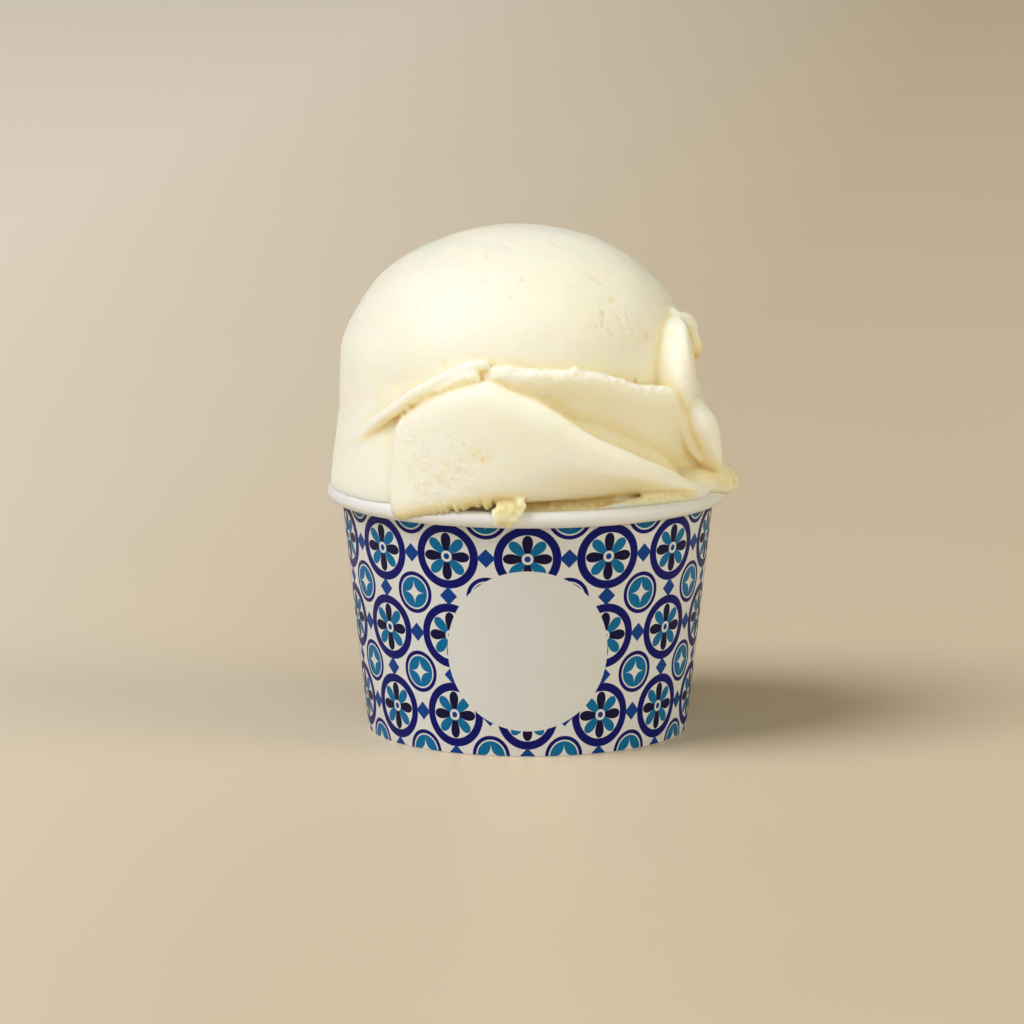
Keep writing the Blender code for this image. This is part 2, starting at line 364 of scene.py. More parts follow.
def lift_seam(bm):
    lifted = 0
    for v in bm.verts:
        radius = math.hypot(v.co.x, v.co.y)
        on_outside = radius > wall_outside(v.co.z) - 0.2 * BOARD and v.co.z > toe
        if not on_outside:
            continue
        past = (azimuth_of(v.co) - seam_edge) % 360
        if past < 0.5 * COLUMN or past > 360 - 0.1:
            share, turn = 1.0, 0.0
        elif abs(past - (360 - COLUMN)) < 0.5 * COLUMN:
            share, turn = 0.0, 0.93 * COLUMN
        elif past < SEAM_EASE:
            share, turn = (1 - past / SEAM_EASE) ** 1.5, 0.0
        else:
            continue
        azimuth = math.radians(azimuth_of(v.co) + turn)
        radius += SEAM_STEP * share
        v.co.x, v.co.y = radius * math.sin(azimuth), -radius * math.cos(azimuth)
        lifted += 1
    return lifted


print("points moved for the seam:", lift_seam(wall_bm))
cup_wall_fine = new_object("cup_wall_fine", wall_bm)

# %% [markdown]
# ## The base of the cup
#
# The base is a disc of the same board. Its edge is turned down and gripped between the wall and the
# folded foot. It shows only from below, and closes the cup.

# %% Spin the base
FLANGE_BOTTOM = 1.0 * MM
base_top = BASE_RECESS + BOARD
outside_top = wall_outside(base_top) - BOARD - FIT_GAP
outside_bottom = wall_outside(FLANGE_BOTTOM) - BOARD - FIT_GAP
base_section = [
    (0.0, base_top),
    *reversed(arc((outside_top - BOARD, base_top - BOARD), BOARD, 0, 90, 5)),
    (outside_bottom, FLANGE_BOTTOM),
    (outside_bottom - BOARD, FLANGE_BOTTOM),
    (outside_top - BOARD, BASE_RECESS),
    (0.0, BASE_RECESS),
]
base_bm, way = spun(base_section, False, 96)
cup_base_fine = new_object("cup_base_fine", base_bm)
print("the base has", len(cup_base_fine.data.polygons), "faces")

# %% [markdown]
# ## The board's finish
#
# Coated board is smooth and a little glossy, with a faint mottle of its fibres. The mottle is used by
# the white board and by the printed board, so it is a node group that puts out a tone, a roughness and
# a height.

# %% Board group
board_group = bpy.data.node_groups.new("board fibres", "ShaderNodeTree")
for socket_name, side, kind in (
    ("Base Tone", "INPUT", "NodeSocketColor"),
    ("Fibre", "INPUT", "NodeSocketFloat"),
    ("Color", "OUTPUT", "NodeSocketColor"),
    ("Roughness", "OUTPUT", "NodeSocketFloat"),
    ("Height", "OUTPUT", "NodeSocketFloat"),
):
    board_group.interface.new_socket(socket_name, in_out=side, socket_type=kind)
entry = board_group.nodes.new("NodeGroupInput")
leave = board_group.nodes.new("NodeGroupOutput")
place = add_node(board_group, "ShaderNodeTexCoord").outputs["Object"]
fine = noise_field(board_group, place, 2600.0, 3.0)
broad = noise_field(board_group, place, 140.0, 2.0)
mottle = maths(board_group, "MULTIPLY_ADD", fine, 0.4, maths(board_group, "MULTIPLY", broad, 0.6))
multiply = {"data_type": "RGBA", "blend_type": "MULTIPLY"}
shade = add_node(board_group, "ShaderNodeMix", multiply, Factor=entry.outputs["Fibre"])
board_group.links.new(entry.outputs["Base Tone"], shade.inputs["A"])
board_group.links.new(spread(board_group, mottle, 0.9, 1.05), shade.inputs["B"])
board_group.links.new(shade.outputs["Result"], leave.inputs["Color"])
board_group.links.new(spread(board_group, broad, 0.38, 0.5), leave.inputs["Roughness"])
board_group.links.new(fine, leave.inputs["Height"])
print("group", board_group.name, "has", len(board_group.nodes), "nodes")


def dress_in_board(tree, shader, colour):
    """Joins the fibre group to a Principled shader. The colour is a value or a socket."""
    fibres = add_node(tree, "ShaderNodeGroup", {"node_tree": board_group}, Base_Tone=colour, Fibre=0.35)
    tree.links.new(fibres.outputs["Color"], shader.inputs["Base Color"])
    tree.links.new(fibres.outputs["Roughness"], shader.inputs["Roughness"])
    height = fibres.outputs["Height"]
    bump = add_node(tree, "ShaderNodeBump", Strength=0.12, Distance=0.05 * MM, Height=height)
    tree.links.new(bump.outputs["Normal"], shader.inputs["Normal"])


# %% White board
WHITE = screen_colour(229, 231, 230)
white_board, tree, shader = new_material("white board")
dress_in_board(tree, shader, WHITE)

# %% [markdown]
# ## The print
#
# The outside carries a border-to-border print of small glazed-tile figures in navy, blue and teal on
# white, with a plain round panel at the front. The figures are the traditional ones of painted wall
# tiles: an eight-petalled rosette in a ring, a disc with a star where four tiles meet, and small diamonds
# between the rings. Everything is worked out from the azimuth and the height, so it wraps the cone
# without stretching. Each figure is a mask: a distance, in shares of a tile, compared with an edge.

# %% Print measures
TILES_AROUND = 14
TILE_ROWS = 3
PANEL_RADIUS = 17.2 * MM
PANEL_HEIGHT = 22.8 * MM
PRINT_WHITE = screen_colour(219, 221, 220)
NAVY = screen_colour(4, 10, 104)
DEEP_NAVY = screen_colour(6, 8, 58)
BLUE = screen_colour(6, 62, 140)
TEAL = screen_colour(2, 106, 158)
tile_height = print_top[1] / TILE_ROWS
tile_width = math.tau * wall_outside(print_top[1] / 2) / TILES_AROUND
print(f"a tile is {tile_width / MM:.1f} mm wide and {tile_height / MM:.1f} mm high")

# %% Printed board
printed_board, tree, shader = new_material("printed board", Specular_IOR_Level=0.14)
place = add_node(tree, "ShaderNodeTexCoord").outputs["Object"]
split = add_node(tree, "ShaderNodeSeparateXYZ", Vector=place)
height = split.outputs["Z"]
azimuth = maths(tree, "ARCTAN2", split.outputs["X"], maths(tree, "MULTIPLY", split.outputs["Y"], -1.0))


def times(a, b):
    """The product, in the material that is being built."""
    return maths(tree, "MULTIPLY", a, b)


def size_of(value):
    return maths(tree, "ABSOLUTE", value)


def outside_of(mask):
    return maths(tree, "SUBTRACT", 1.0, mask)


def tile_place(value):
    """The place across a tile, from -0.5 to 0.5."""
    return maths(tree, "SUBTRACT", maths(tree, "FRACT", value), 0.5)


def distance(a, b):
    """The length of (a, b)."""
    return maths(tree, "SQRT", maths(tree, "ADD", times(a, a), times(b, b)))


def below(value, edge, blur=0.006):
    """1 where the value is under the edge, with a thin soft border like that of ink."""
    over = maths(tree, "SUBTRACT", edge, value)
    return maths(tree, "MULTIPLY_ADD", over, 1 / blur, 0.5, clamp=True)


def between(value, low_edge, high_edge):
    return times(below(value, high_edge), outside_of(below(value, low_edge)))


# %% Figures of the print
PETAL_START = 0.07  # all in shares of a tile
PETAL_REACH = (0.21, 0.085)  # how far a petal reaches out past the eye's edge, and the edge
PETAL_BLUNT = 0.45
EYE_RADIUS = 0.038
RING = (0.3, 0.405)
CORNER_RING = (0.212, 0.262)
DISC_RADIUS = 0.194
STAR_SIZE = 0.4
DIAMOND_SIZE = 0.118

across = tile_place(maths(tree, "MULTIPLY_ADD", azimuth, TILES_AROUND / math.tau, 0.5 + TILES_AROUND))
upward = tile_place(maths(tree, "MULTIPLY_ADD", height, 1 / tile_height, TILE_ROWS))
from_middle = distance(across, upward)
petal_wave = maths(tree, "COSINE", times(maths(tree, "ARCTAN2", upward, across), 4.0))
blunted = maths(tree, "POWER", size_of(petal_wave), PETAL_BLUNT)
petals = between(from_middle, PETAL_START, maths(tree, "MULTIPLY_ADD", blunted, *PETAL_REACH))
upright_petals = times(petals, maths(tree, "GREATER_THAN", petal_wave, 0.0))
slant_petals = times(petals, maths(tree, "LESS_THAN", petal_wave, 0.0))
eye = below(from_middle, EYE_RADIUS)
ring = between(from_middle, *RING)

aside = maths(tree, "SUBTRACT", 0.5, size_of(across))
above = maths(tree, "SUBTRACT", 0.5, size_of(upward))
from_corner = distance(aside, above)
corner_ring = between(from_corner, *CORNER_RING)
star = below(maths(tree, "ADD", maths(tree, "SQRT", aside), maths(tree, "SQRT", above)), STAR_SIZE)
corner_disc = times(below(from_corner, DISC_RADIUS), outside_of(star))
side_diamond = below(maths(tree, "ADD", aside, size_of(upward)), DIAMOND_SIZE)
top_diamond = below(maths(tree, "ADD", above, size_of(across)), DIAMOND_SIZE)
diamonds = maths(tree, "MAXIMUM", side_diamond, top_diamond)
print("the print has", len(tree.nodes), "nodes so far")

# %% Inks and panel
along_panel = times(azimuth, maths(tree, "MULTIPLY_ADD", height, WALL_LEAN, FOOT_RADIUS))
up_panel = maths(tree, "SUBTRACT", height, PANEL_HEIGHT)
from_panel = distance(along_panel, up_panel)
printed = outside_of(below(from_panel, PANEL_RADIUS, 0.1 * MM))

colour = None
for mask, ink in (
    (corner_disc, TEAL),
    (corner_ring, NAVY),
    (ring, NAVY),
    (upright_petals, DEEP_NAVY),
    (slant_petals, TEAL),
    (eye, BLUE),
    (diamonds, BLUE),
):
    layer = add_node(tree, "ShaderNodeMix", {"data_type": "RGBA"})
    tree.links.new(times(mask, printed), layer.inputs["Factor"])
    layer.inputs["B"].default_value = ink
    if colour is None:
        layer.inputs["A"].default_value = PRINT_WHITE
    else:
        tree.links.new(colour, layer.inputs["A"])
    colour = layer.outputs["Result"]
dress_in_board(tree, shader, colour)
print("the printed board has", len(tree.nodes), "nodes")

# %% Dress the cup
cup_wall_fine.data.materials.append(white_board)
cup_wall_fine.data.materials.append(printed_board)
cup_base_fine.data.materials.append(white_board)
printed_faces = 0
for face in cup_wall_fine.data.polygons:
    radius = math.hypot(face.center.x, face.center.y)
    sideways = math.hypot(face.normal.x, face.normal.y) > 0.9 and face.normal.z < 0
    off_wall = radius - wall_outside(face.center.z)
    if sideways and face.center.z < ROLL_CENTRE[1] and -0.4 * BOARD < off_wall < 1.5 * BOARD:
        face.material_index = 1
        printed_faces += 1
print("printed faces:", printed_faces)

# %% [markdown]
# ## The gelato
#
# Gelato is laid into the cup with a flat spatula, so the heap is a smooth dome with broad folds round
# it: a leaf across the front that laps over the rim, the edge of the layer above it, a shelf behind the
# leaf and a curl down the right side. It could be sculpted by hand, but then nobody could change it. Here
# each fold is a ball whose points are moved by a formula with named sizes, and the folds are then fused
# and worked over with strokes, as a sculptor would.
#
# Smooth curves through a few knots give the folds their edges. Places are given by azimuth, distance
# from the cup's axis and height, because that is how the folds lie round the heap.


# %% Curves and places
def through(x, knots):
    """A smooth curve through (position, value) knots, read at x, and level past the ends."""
    spots, values = np.array(knots, float).T
    slopes = np.gradient(values, spots)
    x = np.clip(x, spots[0], spots[-1])
    i = np.clip(np.searchsorted(spots, x, side="right") - 1, 0, len(spots) - 2)
    width = spots[i + 1] - spots[i]
    t = (x - spots[i]) / width
    start = values[i] * (2 * t**3 - 3 * t**2 + 1) + width * slopes[i] * (t**3 - 2 * t**2 + t)
    end = values[i + 1] * (3 * t**2 - 2 * t**3) + width * slopes[i + 1] * (t**3 - t**2)
    return start + end


def at(azimuth, radius, height):
    """Points from azimuths in degrees, and distances from the axis and heights in millimetres."""
    turn = np.radians(azimuth)
    spread = np.broadcast_arrays(radius * np.sin(turn), -radius * np.cos(turn), height)
    return np.stack(spread, axis=-1) * MM


def bulged(value, power):
    """A cosine or sine of a superellipse: a power of 2 is round, and more squares the section up."""
    return np.sign(value) * np.abs(value) ** (2.0 / power)


print("a curve through 0, 1, 0 reads", round(float(through(0.5, [(0, 0), (1, 1), (2, 0)])), 3), "half way up")

# %% [markdown]
# The body under the folds is a spun dome, leaned a little to the left of the cup's axis. Only the part
# above the rim is seen, so the work starts just under the rim.

# %% The body
DOME_TOP = 107.3
DOME_MIDDLE = 78.0  # height where the dome is widest
DOME_RADIUS = 36.8
DOME_POWER = 2.06  # 2 is an ellipse, and more is fuller
# How far the dome leans to the left at a height, both in millimetres.
DOME_LEAN = [(50, 0.0), (58, 1.4), (66, 2.4), (74, 2.7), (84, 2.9), (91, 2.1), (98, 2.2), (108, 1.6)]
LEAN_BACK = 0.22  # how far it leans back for each step to the left
SHOULDER = [(38.9, 51.0), (38.6, 52.2), (37.8, 54.0), (37.4, 58.0), (37.4, 64.0), (37.3, 71.0)]
START_HEIGHT = 42.0  # under the rim, where the modelled surface starts
WALL_GAP = 0.35  # between the gelato and the board


def inside_wall(height):
    """The radius of the gelato inside the cup, in millimetres."""
    return (wall_outside(height * MM) - BOARD) / MM - WALL_GAP


def add_body(bm):
    outline = [(0.0, START_HEIGHT), (inside_wall(START_HEIGHT), START_HEIGHT), (inside_wall(49.5), 49.5)]
    outline += SHOULDER
    for i in range(25):
        rise = math.radians(90 * i / 24)
        radius = DOME_RADIUS * max(math.cos(rise), 0.0) ** (2 / DOME_POWER)
        outline.append((radius, DOME_MIDDLE + (DOME_TOP - DOME_MIDDLE) * math.sin(rise) ** (2 / DOME_POWER)))
    corners = [bm.verts.new((0.0, -r * MM, z * MM)) for r, z in outline]
    edges = [bm.edges.new(pair) for pair in zip(corners, corners[1:])]
    spin_round(bm, corners + edges, 120)
    for v in bm.verts:
        lean = through(v.co.z / MM, DOME_LEAN)
        v.co.x -= lean * MM
        v.co.y += LEAN_BACK * lean * MM


gelato_bm = bmesh.new()
add_body(gelato_bm)
print("the body has", len(gelato_bm.verts), "points")

# %% [markdown]
# Two kinds of fold are laid on the body. A band wraps round the heap between two azimuths, with its own
# upper edge, lower edge and reach, and rounder or squarer edges. A rope follows a path and has a
# thickness at each knot, which suits ridges, curls and drips.


# %% Bands
def add_ball(bm, around, along, place):
    """A ball whose points are moved by place(turn, travel), with the travel from pole to pole as 0 to 1."""
    ball = bmesh.new()
    bmesh.ops.create_uvsphere(ball, u_segments=around, v_segments=along, radius=1.0)
    unit = np.array([v.co for v in ball.verts])
    travel = np.arccos(np.clip(unit[:, 2], -1, 1)) / math.pi
    turn = np.arctan2(unit[:, 1], unit[:, 0])
    for v, point in zip(ball.verts, place(turn, travel)):
        v.co = point
    carrier = bpy.data.meshes.new("fold")
    ball.to_mesh(carrier)
    ball.free()
    bm.from_mesh(carrier)
    bpy.data.meshes.remove(carrier)


def add_band(
    bm, ends, low, high, outside, depth, lean=0.0, rounding=(3.0, 3.0), blunt=6.0, around=64, along=160
):
    """A fold laid round the heap. lean is how far its top stands out past its bottom.

    rounding is the squareness of its upper and its lower edge, and the lower one may be a curve of
    knots. The higher blunt is, the less the fold tapers at its ends.
    """
    top_power, hem_power = rounding

    def place(turn, travel):
        travel = 0.5 - 0.5 * np.cos(math.pi * travel)
        azimuth = ends[0] + (ends[1] - ends[0]) * travel
        middle = (through(azimuth, low) + through(azimuth, high)) / 2
        half = (through(azimuth, high) - through(azimuth, low)) / 2
        taper = (1 - np.abs(2 * travel - 1) ** blunt) ** (1 / 2.2)
        hem = through(azimuth, hem_power) if isinstance(hem_power, list) else hem_power
        power = np.where(np.sin(turn) > 0, top_power, hem)
        up = bulged(np.sin(turn), power) * taper
        out = bulged(np.cos(turn), power) * taper
        radius = through(azimuth, outside) + (out - 1) * depth / 2 + lean / 2 * up
        return at(azimuth, radius, middle + half * up)

    add_ball(bm, around, along, place)


# %% Ropes
def add_rope(bm, path, depth=1.0, power=2.0, twist=0.0, tip=4.0, around=32, along=72):
    """A ridge along (azimuth, radius, height, width) knots.

    depth is a share of the width, and twist turns the section.
    """
    last = len(path) - 1
    knots = [[(i, knot[k]) for i, knot in enumerate(path)] for k in range(4)]

    def middle(travel):
        return at(*(through(travel * last, knots[k]) for k in range(3)))

    def place(turn, travel):
        centre = middle(travel)
        way = middle(np.minimum(travel + 0.01, 1)) - middle(np.maximum(travel - 0.01, 0))
        way /= np.linalg.norm(way, axis=1, keepdims=True)
        outward = centre * (1, 1, 0)
        outward /= np.linalg.norm(outward, axis=1, keepdims=True)
        side = np.cross(way, outward)
        side /= np.linalg.norm(side, axis=1, keepdims=True)
        outward = np.cross(side, way)
        taper = (1 - np.abs(2 * travel - 1) ** tip) ** 0.5
        thick = through(travel * last, knots[3]) / 2 * taper * MM
        wide = (thick * bulged(np.cos(turn), power))[:, None]
        deep = (thick * depth * bulged(np.sin(turn), power))[:, None]
        c, s = math.cos(math.radians(twist)), math.sin(math.radians(twist))
        return centre + (side * c + outward * s) * wide + (outward * c - side * s) * deep

    add_ball(bm, around, along, place)


# %% [markdown]
# The front: the smooth side on the left, the leaf, and the edge of the layer above that overhangs the
# leaf. The overhanging layer is a band that stands out at its bottom only. A thin rope along its edge is
# the bright rolled lip, and another below it is the torn seam that shows over the leaf.

# %% Folds of the front
# Heights of an edge at azimuths.
LIP = [(-88, 56.8), (-71, 61.8), (-55, 66.8), (-42, 72.3), (-31, 77.0), (-21, 80.9), (-14, 82.3), (-9, 82.6)]
SEAM = [(-41, 71.2), (-36.7, 73.2), (-31, 75.5), (-25.9, 77.3), (-21.7, 78.9), (-18, 80.0), (-14.5, 80.5)]
LEAF_HIGH = [(-44.2, 70.8), (-38, 72.7), (-31, 75.7), (-25, 77.5), (-17.5, 79.0), (-11, 79.3), (-4, 77.2)]
LEAF_HIGH += [(2.5, 75.7), (10, 72.8), (16.5, 69.8), (22, 67.3), (28, 65.4), (34, 63.8), (47.7, 59.7)]
LEAF_HIGH += [(56, 57.2), (68, 54.2)]
LEAF_LOW = [(-44.2, 49.2), (-36, 49.8), (-28, 51.0), (-20, 52.7), (-14, 53.8), (-5, 54.4), (21, 54.8)]
LEAF_LOW += [(36, 54.9), (45, 54.2), (53, 53.3), (60, 52.8), (68, 52.5)]


def shifted(knots, step):
    return [(spot, value + step) for spot, value in knots]


add_band(  # the smooth side on the left
    gelato_bm, ends=(-34, -215),
    low=[(-215, 51.6), (-34, 50.9)],
    high=[(-215, 74.0), (-150, 78.0), (-90, 80.0), (-60, 78.0), (-34, 72.0)],
    outside=[(-215, 40.3), (-150, 40.7), (-90, 40.4), (-65, 40.5), (-50, 40.8), (-34, 41.0)],
    depth=9.0, lean=-3.8, rounding=(2.2, 7.0), blunt=14.0,
)
add_band(  # the layer above, which overhangs the leaf
    gelato_bm, ends=(-100, -8),
    low=shifted(LIP, -0.2),
    high=[(-100, 84.0), (-88, 90.0), (-71, 91.0), (-31, 92.0), (-8, 92.0)],
    outside=[(-100, 38.0), (-88, 38.4), (-71, 38.2), (-55, 37.8), (-31, 36.4), (-14, 34.6), (-8, 34.2)],
    depth=8.0, lean=-5.6, rounding=(2.0, 8.0), blunt=10.0,
)
add_rope(  # the lip along its edge
    gelato_bm,
    path=[
        (-68, 40.0, 62.8, 1.0), (-58, 40.4, 66.2, 2.0), (-48, 40.4, 70.4, 2.6), (-42, 40.1, 72.9, 2.8),
        (-37, 39.9, 75.3, 2.8), (-31, 39.5, 77.7, 2.9), (-25, 39.0, 79.9, 2.9), (-19, 38.3, 81.8, 3.2),
        (-12, 37.4, 82.9, 3.6),
    ],
    tip=9.0, along=120,
)
seam_path = [(azimuth, 39.2, height, 3.4) for azimuth, height in SEAM]
add_rope(gelato_bm, path=seam_path, along=120)  # the torn seam
add_rope(  # the churned rise between the lip and the shelf
    gelato_bm,
    path=[
        (-15, 37.2, 80.2, 2.0), (-11, 37.3, 80.6, 3.0), (-7, 37.1, 80.8, 3.6), (-2, 36.9, 80.8, 3.0),
        (4, 36.8, 80.6, 2.0),
    ],
)
add_band(  # the leaf
    gelato_bm, ends=(-44.2, 68),
    low=LEAF_LOW,
    high=LEAF_HIGH,
    outside=[(-44.2, 42.0), (-38, 42.9), (-30, 43.3), (0, 43.4), (30, 42.9), (68, 42.0)],
    depth=12.0, lean=-1.6,
    rounding=(3.8, [(-44, 6.0), (-12, 4.4), (2, 2.4), (68, 2.0)]),
    blunt=70.0, around=96, along=240,
)
print("after the front folds:", len(gelato_bm.verts), "points")

# %% [markdown]
# The right side: a shelf that shows behind the leaf and falls away under its upper edge, the curl that
# hangs down over it in two lengths, with a ragged flap at its top, and the tail that runs out over the
# rim.

# %% Folds of the right side
SHELF_HIGH = [(-15, 81.0), (1, 81.9), (12, 81.5), (24, 80.6), (31, 79.2), (38, 77.6), (44, 76.9), (50, 76.3)]
SHELF_HIGH += [(52.3, 75.3), (55.5, 71.0), (58, 68.0), (63, 62.8), (68, 58.8), (74, 56.0)]

add_band(  # the shelf
    gelato_bm, ends=(-15, 74),
    low=[(-15, 69.0), (20, 67.0), (45, 60.0), (74, 51.0)],
    high=SHELF_HIGH,
    outside=[(-15, 37.0), (10, 37.5), (35, 37.6), (50, 37.6), (74, 38.2)],
    depth=9.0, lean=5.0, rounding=(5.0, 2.0), blunt=14.0, around=96, along=240,
)
add_rope(  # the upper curl, a slab that stands out of the dome
    gelato_bm,
    path=[
        (74.0, 31.2, 89.8, 1.4), (68.4, 32.6, 88.2, 3.2), (62.8, 33.9, 85.6, 5.4),
        (58.2, 35.3, 80.4, 6.6), (57.0, 36.5, 75.0, 6.4), (59.5, 37.6, 69.5, 5.0),
    ],
    depth=1.4, power=5.0, twist=8.0, around=48, along=120,
)
add_rope(  # the lower curl
    gelato_bm,
    path=[
        (60.6, 36.8, 74.8, 2.8), (61.0, 37.9, 71.4, 5.0), (62.4, 39.5, 67.0, 6.4),
        (64.8, 40.9, 62.8, 5.2), (67.8, 41.8, 59.4, 3.2), (70.0, 42.2, 57.2, 1.4),
    ],
    depth=1.5, power=3.2, twist=-6.0, tip=7.0, around=48, along=120,
)
add_band(  # the tail over the rim
    gelato_bm, ends=(57, 100),
    low=[(57, 52.8), (68, 52.2), (78, 50.9), (90, 50.7), (100, 51.6)],
    high=[(57, 56.0), (64, 58.4), (70, 60.2), (76, 60.8), (84, 58.8), (92, 56.8), (100, 54.6)],
    outside=[(57, 41.2), (64, 41.8), (78, 43.5), (88, 44.8), (100, 43.6)],
    depth=9.0, lean=-2.0, rounding=(2.0, 3.2), blunt=3.0,
)
add_rope(  # what fills the groove between the shelf and the curl
    gelato_bm,
    path=[
        (53.5, 37.4, 74.4, 2.0), (55.5, 38.0, 71.0, 2.6), (57.6, 38.8, 67.0, 2.8),
        (60.4, 39.8, 63.0, 2.6), (63.4, 40.6, 59.6, 1.8),
    ],
)
add_rope(  # gelato on the inside of the rim, under the leaf
    gelato_bm,
    path=[
        (22, 38.7, 52.8, 1.6), (35, 39.3, 53.1, 2.6), (46, 39.9, 53.4, 3.2), (56, 40.6, 53.2, 3.4),
        (66, 41.2, 53.0, 3.0),
    ],
    along=120,
)
add_rope(  # the ragged flap at the top of the curl, which ends in a knob
    gelato_bm,
    path=[
        (70.0, 32.2, 90.0, 1.4), (75.0, 33.7, 88.8, 2.8), (79.5, 34.8, 87.0, 3.4),
        (82.5, 35.2, 84.4, 3.0), (86.0, 35.4, 81.6, 4.4), (87.0, 34.8, 78.6, 2.8),
    ],
    depth=0.85, along=120,
)
print("after the right side:", len(gelato_bm.verts), "points")

# %% [markdown]
# The back is not known from the front, so it is finished as a plain heap of the same hand: one broad
# wrap and one leaf that laps over the rim.

# %% Folds of the back
add_band(
    gelato_bm, ends=(70, 232),
    low=[(70, 52.8), (100, 52.4), (232, 52.0)],
    high=[(70, 70.0), (90, 77.0), (120, 83.0), (160, 85.0), (200, 82.0), (232, 74.0)],
    outside=[(70, 38.2), (90, 38.6), (130, 39.6), (180, 40.0), (232, 39.8)],
    depth=10.0, lean=-5.0, rounding=(2.6, 5.0),
)
add_band(
    gelato_bm, ends=(98, 242),
    low=[(98, 52.4), (242, 51.0)],
    high=[(98, 55.0), (125, 60.0), (160, 69.0), (190, 76.0), (212, 75.0), (242, 62.0)],
    outside=[(98, 42.2), (130, 42.9), (180, 43.5), (242, 42.6)],
    depth=12.0, lean=-1.8, rounding=(2.7, 3.6),
)
add_rope(  # a drip over the rim, at the front
    gelato_bm,
    path=[(-4.4, 41.6, 55.2, 4.6), (-5.2, 42.9, 53.3, 5.4), (-6.6, 43.2, 51.7, 5.0), (-7.0, 43.2, 50.3, 3.4)],
    depth=0.5, power=2.6,
)
drip_side = [(-2.8, 42.4, 55.8, 2.2), (-2.0, 43.0, 54.2, 2.6), (-2.4, 43.1, 52.6, 1.6)]
add_rope(gelato_bm, path=drip_side, depth=0.7)
print("all folds:", len(gelato_bm.verts), "points")

# %% [markdown]
# Where the spatula tore the cold gelato it left crumbs: on the upper edge of the shelf, by the cracks of
# the dome and at the top of the curl. Each is a small ball pressed into the surface, of a size drawn at
# random from a seeded generator, so that every run gives the same crumbs.

# %% Crumbs
chance = np.random.default_rng(7)


def add_crumbs(bm, places, least, most):
    """Small uneven balls at (azimuth, radius, height) places."""
    for azimuth, radius, height in places:
        size = chance.uniform(least, most, 3)
        spin = chance.uniform(0, math.tau)

        def place(turn, travel):
            ring = np.sin(math.pi * travel)
            sides = [ring * np.cos(turn + spin), ring * np.sin(turn + spin), np.cos(math.pi * travel)]
            return at(azimuth, radius, height) + np.stack(sides, axis=1) * size * MM

        add_ball(bm, 10, 8, place)


shelf_edge = []
for spot in sorted(chance.uniform(0, 50, 11)):
    reach = 37.6 + chance.uniform(-0.4, 0.5)
    shelf_edge.append((spot, reach, float(through(spot, SHELF_HIGH)) + chance.uniform(-0.9, 0.1)))
ON_DOME = [(29.8, 29.4, 92.9), (33.2, 30.8, 90.6), (34.6, 31, 88.9), (31.8, 20.8, 101.1), (36.6, 24, 98.4)]
ON_CURL = [(75, 30.6, 90.4), (72, 32, 89.4), (70, 33.6, 88.2), (67.5, 35, 86.8), (74, 31.4, 89.8)]
ON_CURL += [(69, 34.4, 87.6)]
ON_DRIP = [(-9, 43.2, 52.9), (-1.6, 43.1, 54.6), (-2, 43.3, 52.8), (-8.8, 43.2, 50.8), (-5.2, 43.3, 50.4)]
CRUMBS = [(shelf_edge, 0.6, 1.3), (ON_DOME, 0.45, 0.8), (ON_CURL, 0.9, 1.6), (ON_DRIP, 0.45, 0.9)]
for places, least, most in CRUMBS:
    add_crumbs(gelato_bm, places, least, most)
print("with the crumbs:", len(gelato_bm.verts), "points")

# %% [markdown]
# ## Fusing the folds
#
# The folds overlap, and a body of gelato is one mass. A voxel remesh takes everything that is inside any
# of them and gives one closed skin of even small squares. Its steps are smaller than half a millimetre,
# fine enough for the strokes that follow.

# %% Fuse
VOXEL = 0.4 * MM


def with_modifiers(thing):
    """The mesh of an object as its modifiers leave it, in place of its own."""
    drawn = thing.evaluated_get(bpy.context.evaluated_depsgraph_get())
    finished = bpy.data.meshes.new_from_object(drawn)
    thing.modifiers.clear()
    thing.data = finished


gelato_fine = new_object("gelato_fine", gelato_bm)
remesh = gelato_fine.modifiers.new("fuse", "REMESH")
remesh.mode = "VOXEL"
remesh.voxel_size = VOXEL
with_modifiers(gelato_fine)
print("the fused skin has", len(gelato_fine.data.polygons), "faces")

# %% [markdown]
# ## Working over the surface
#
# From here the points are moved as whole arrays, in millimetres, which is quick. The first tool relaxes
# the skin, as a warm spatula does: each point goes part of the way to the middle of its neighbours.

# %% Relax
def taken_apart(mesh):
    """The ends of the edges, the number of points, each one's neighbours, and the points in millimetres."""
    ends = np.zeros(len(mesh.edges) * 2, int)
    mesh.edges.foreach_get("vertices", ends)
    one_end, other_end = ends.reshape(-1, 2).T
    count = len(mesh.vertices)
    neighbours = np.bincount(one_end, minlength=count) + np.bincount(other_end, minlength=count)
    points = np.zeros(count * 3)
    mesh.vertices.foreach_get("co", points)
    return one_end, other_end, count, neighbours, points.reshape(-1, 3) / MM


def around_each(values):
    """The mean of the neighbours' values, for each point and column."""
    columns = []
    for column in values.T:
        sums = np.bincount(one_end, column[other_end], count) + np.bincount(other_end, column[one_end], count)
        columns.append(sums / neighbours)
    return np.stack(columns, axis=1)


def relaxed(points, rounds, share=0.5):
    for _ in range(rounds):
        points = points + share * (around_each(points) - points)
    return points


one_end, other_end, count, neighbours, points = taken_apart(gelato_fine.data)
points = relaxed(points, 3)
print("the skin spans", points.min(0).round(1), "to", points.max(0).round(1))

# %% [markdown]
# Strokes need to know where the skin is. A place is named by azimuth and height, and a ray shot at the
# axis from outside finds the skin there. A stroke follows a line through a few such places, and its
# nearness fades smoothly from one on the line to nothing at its width.


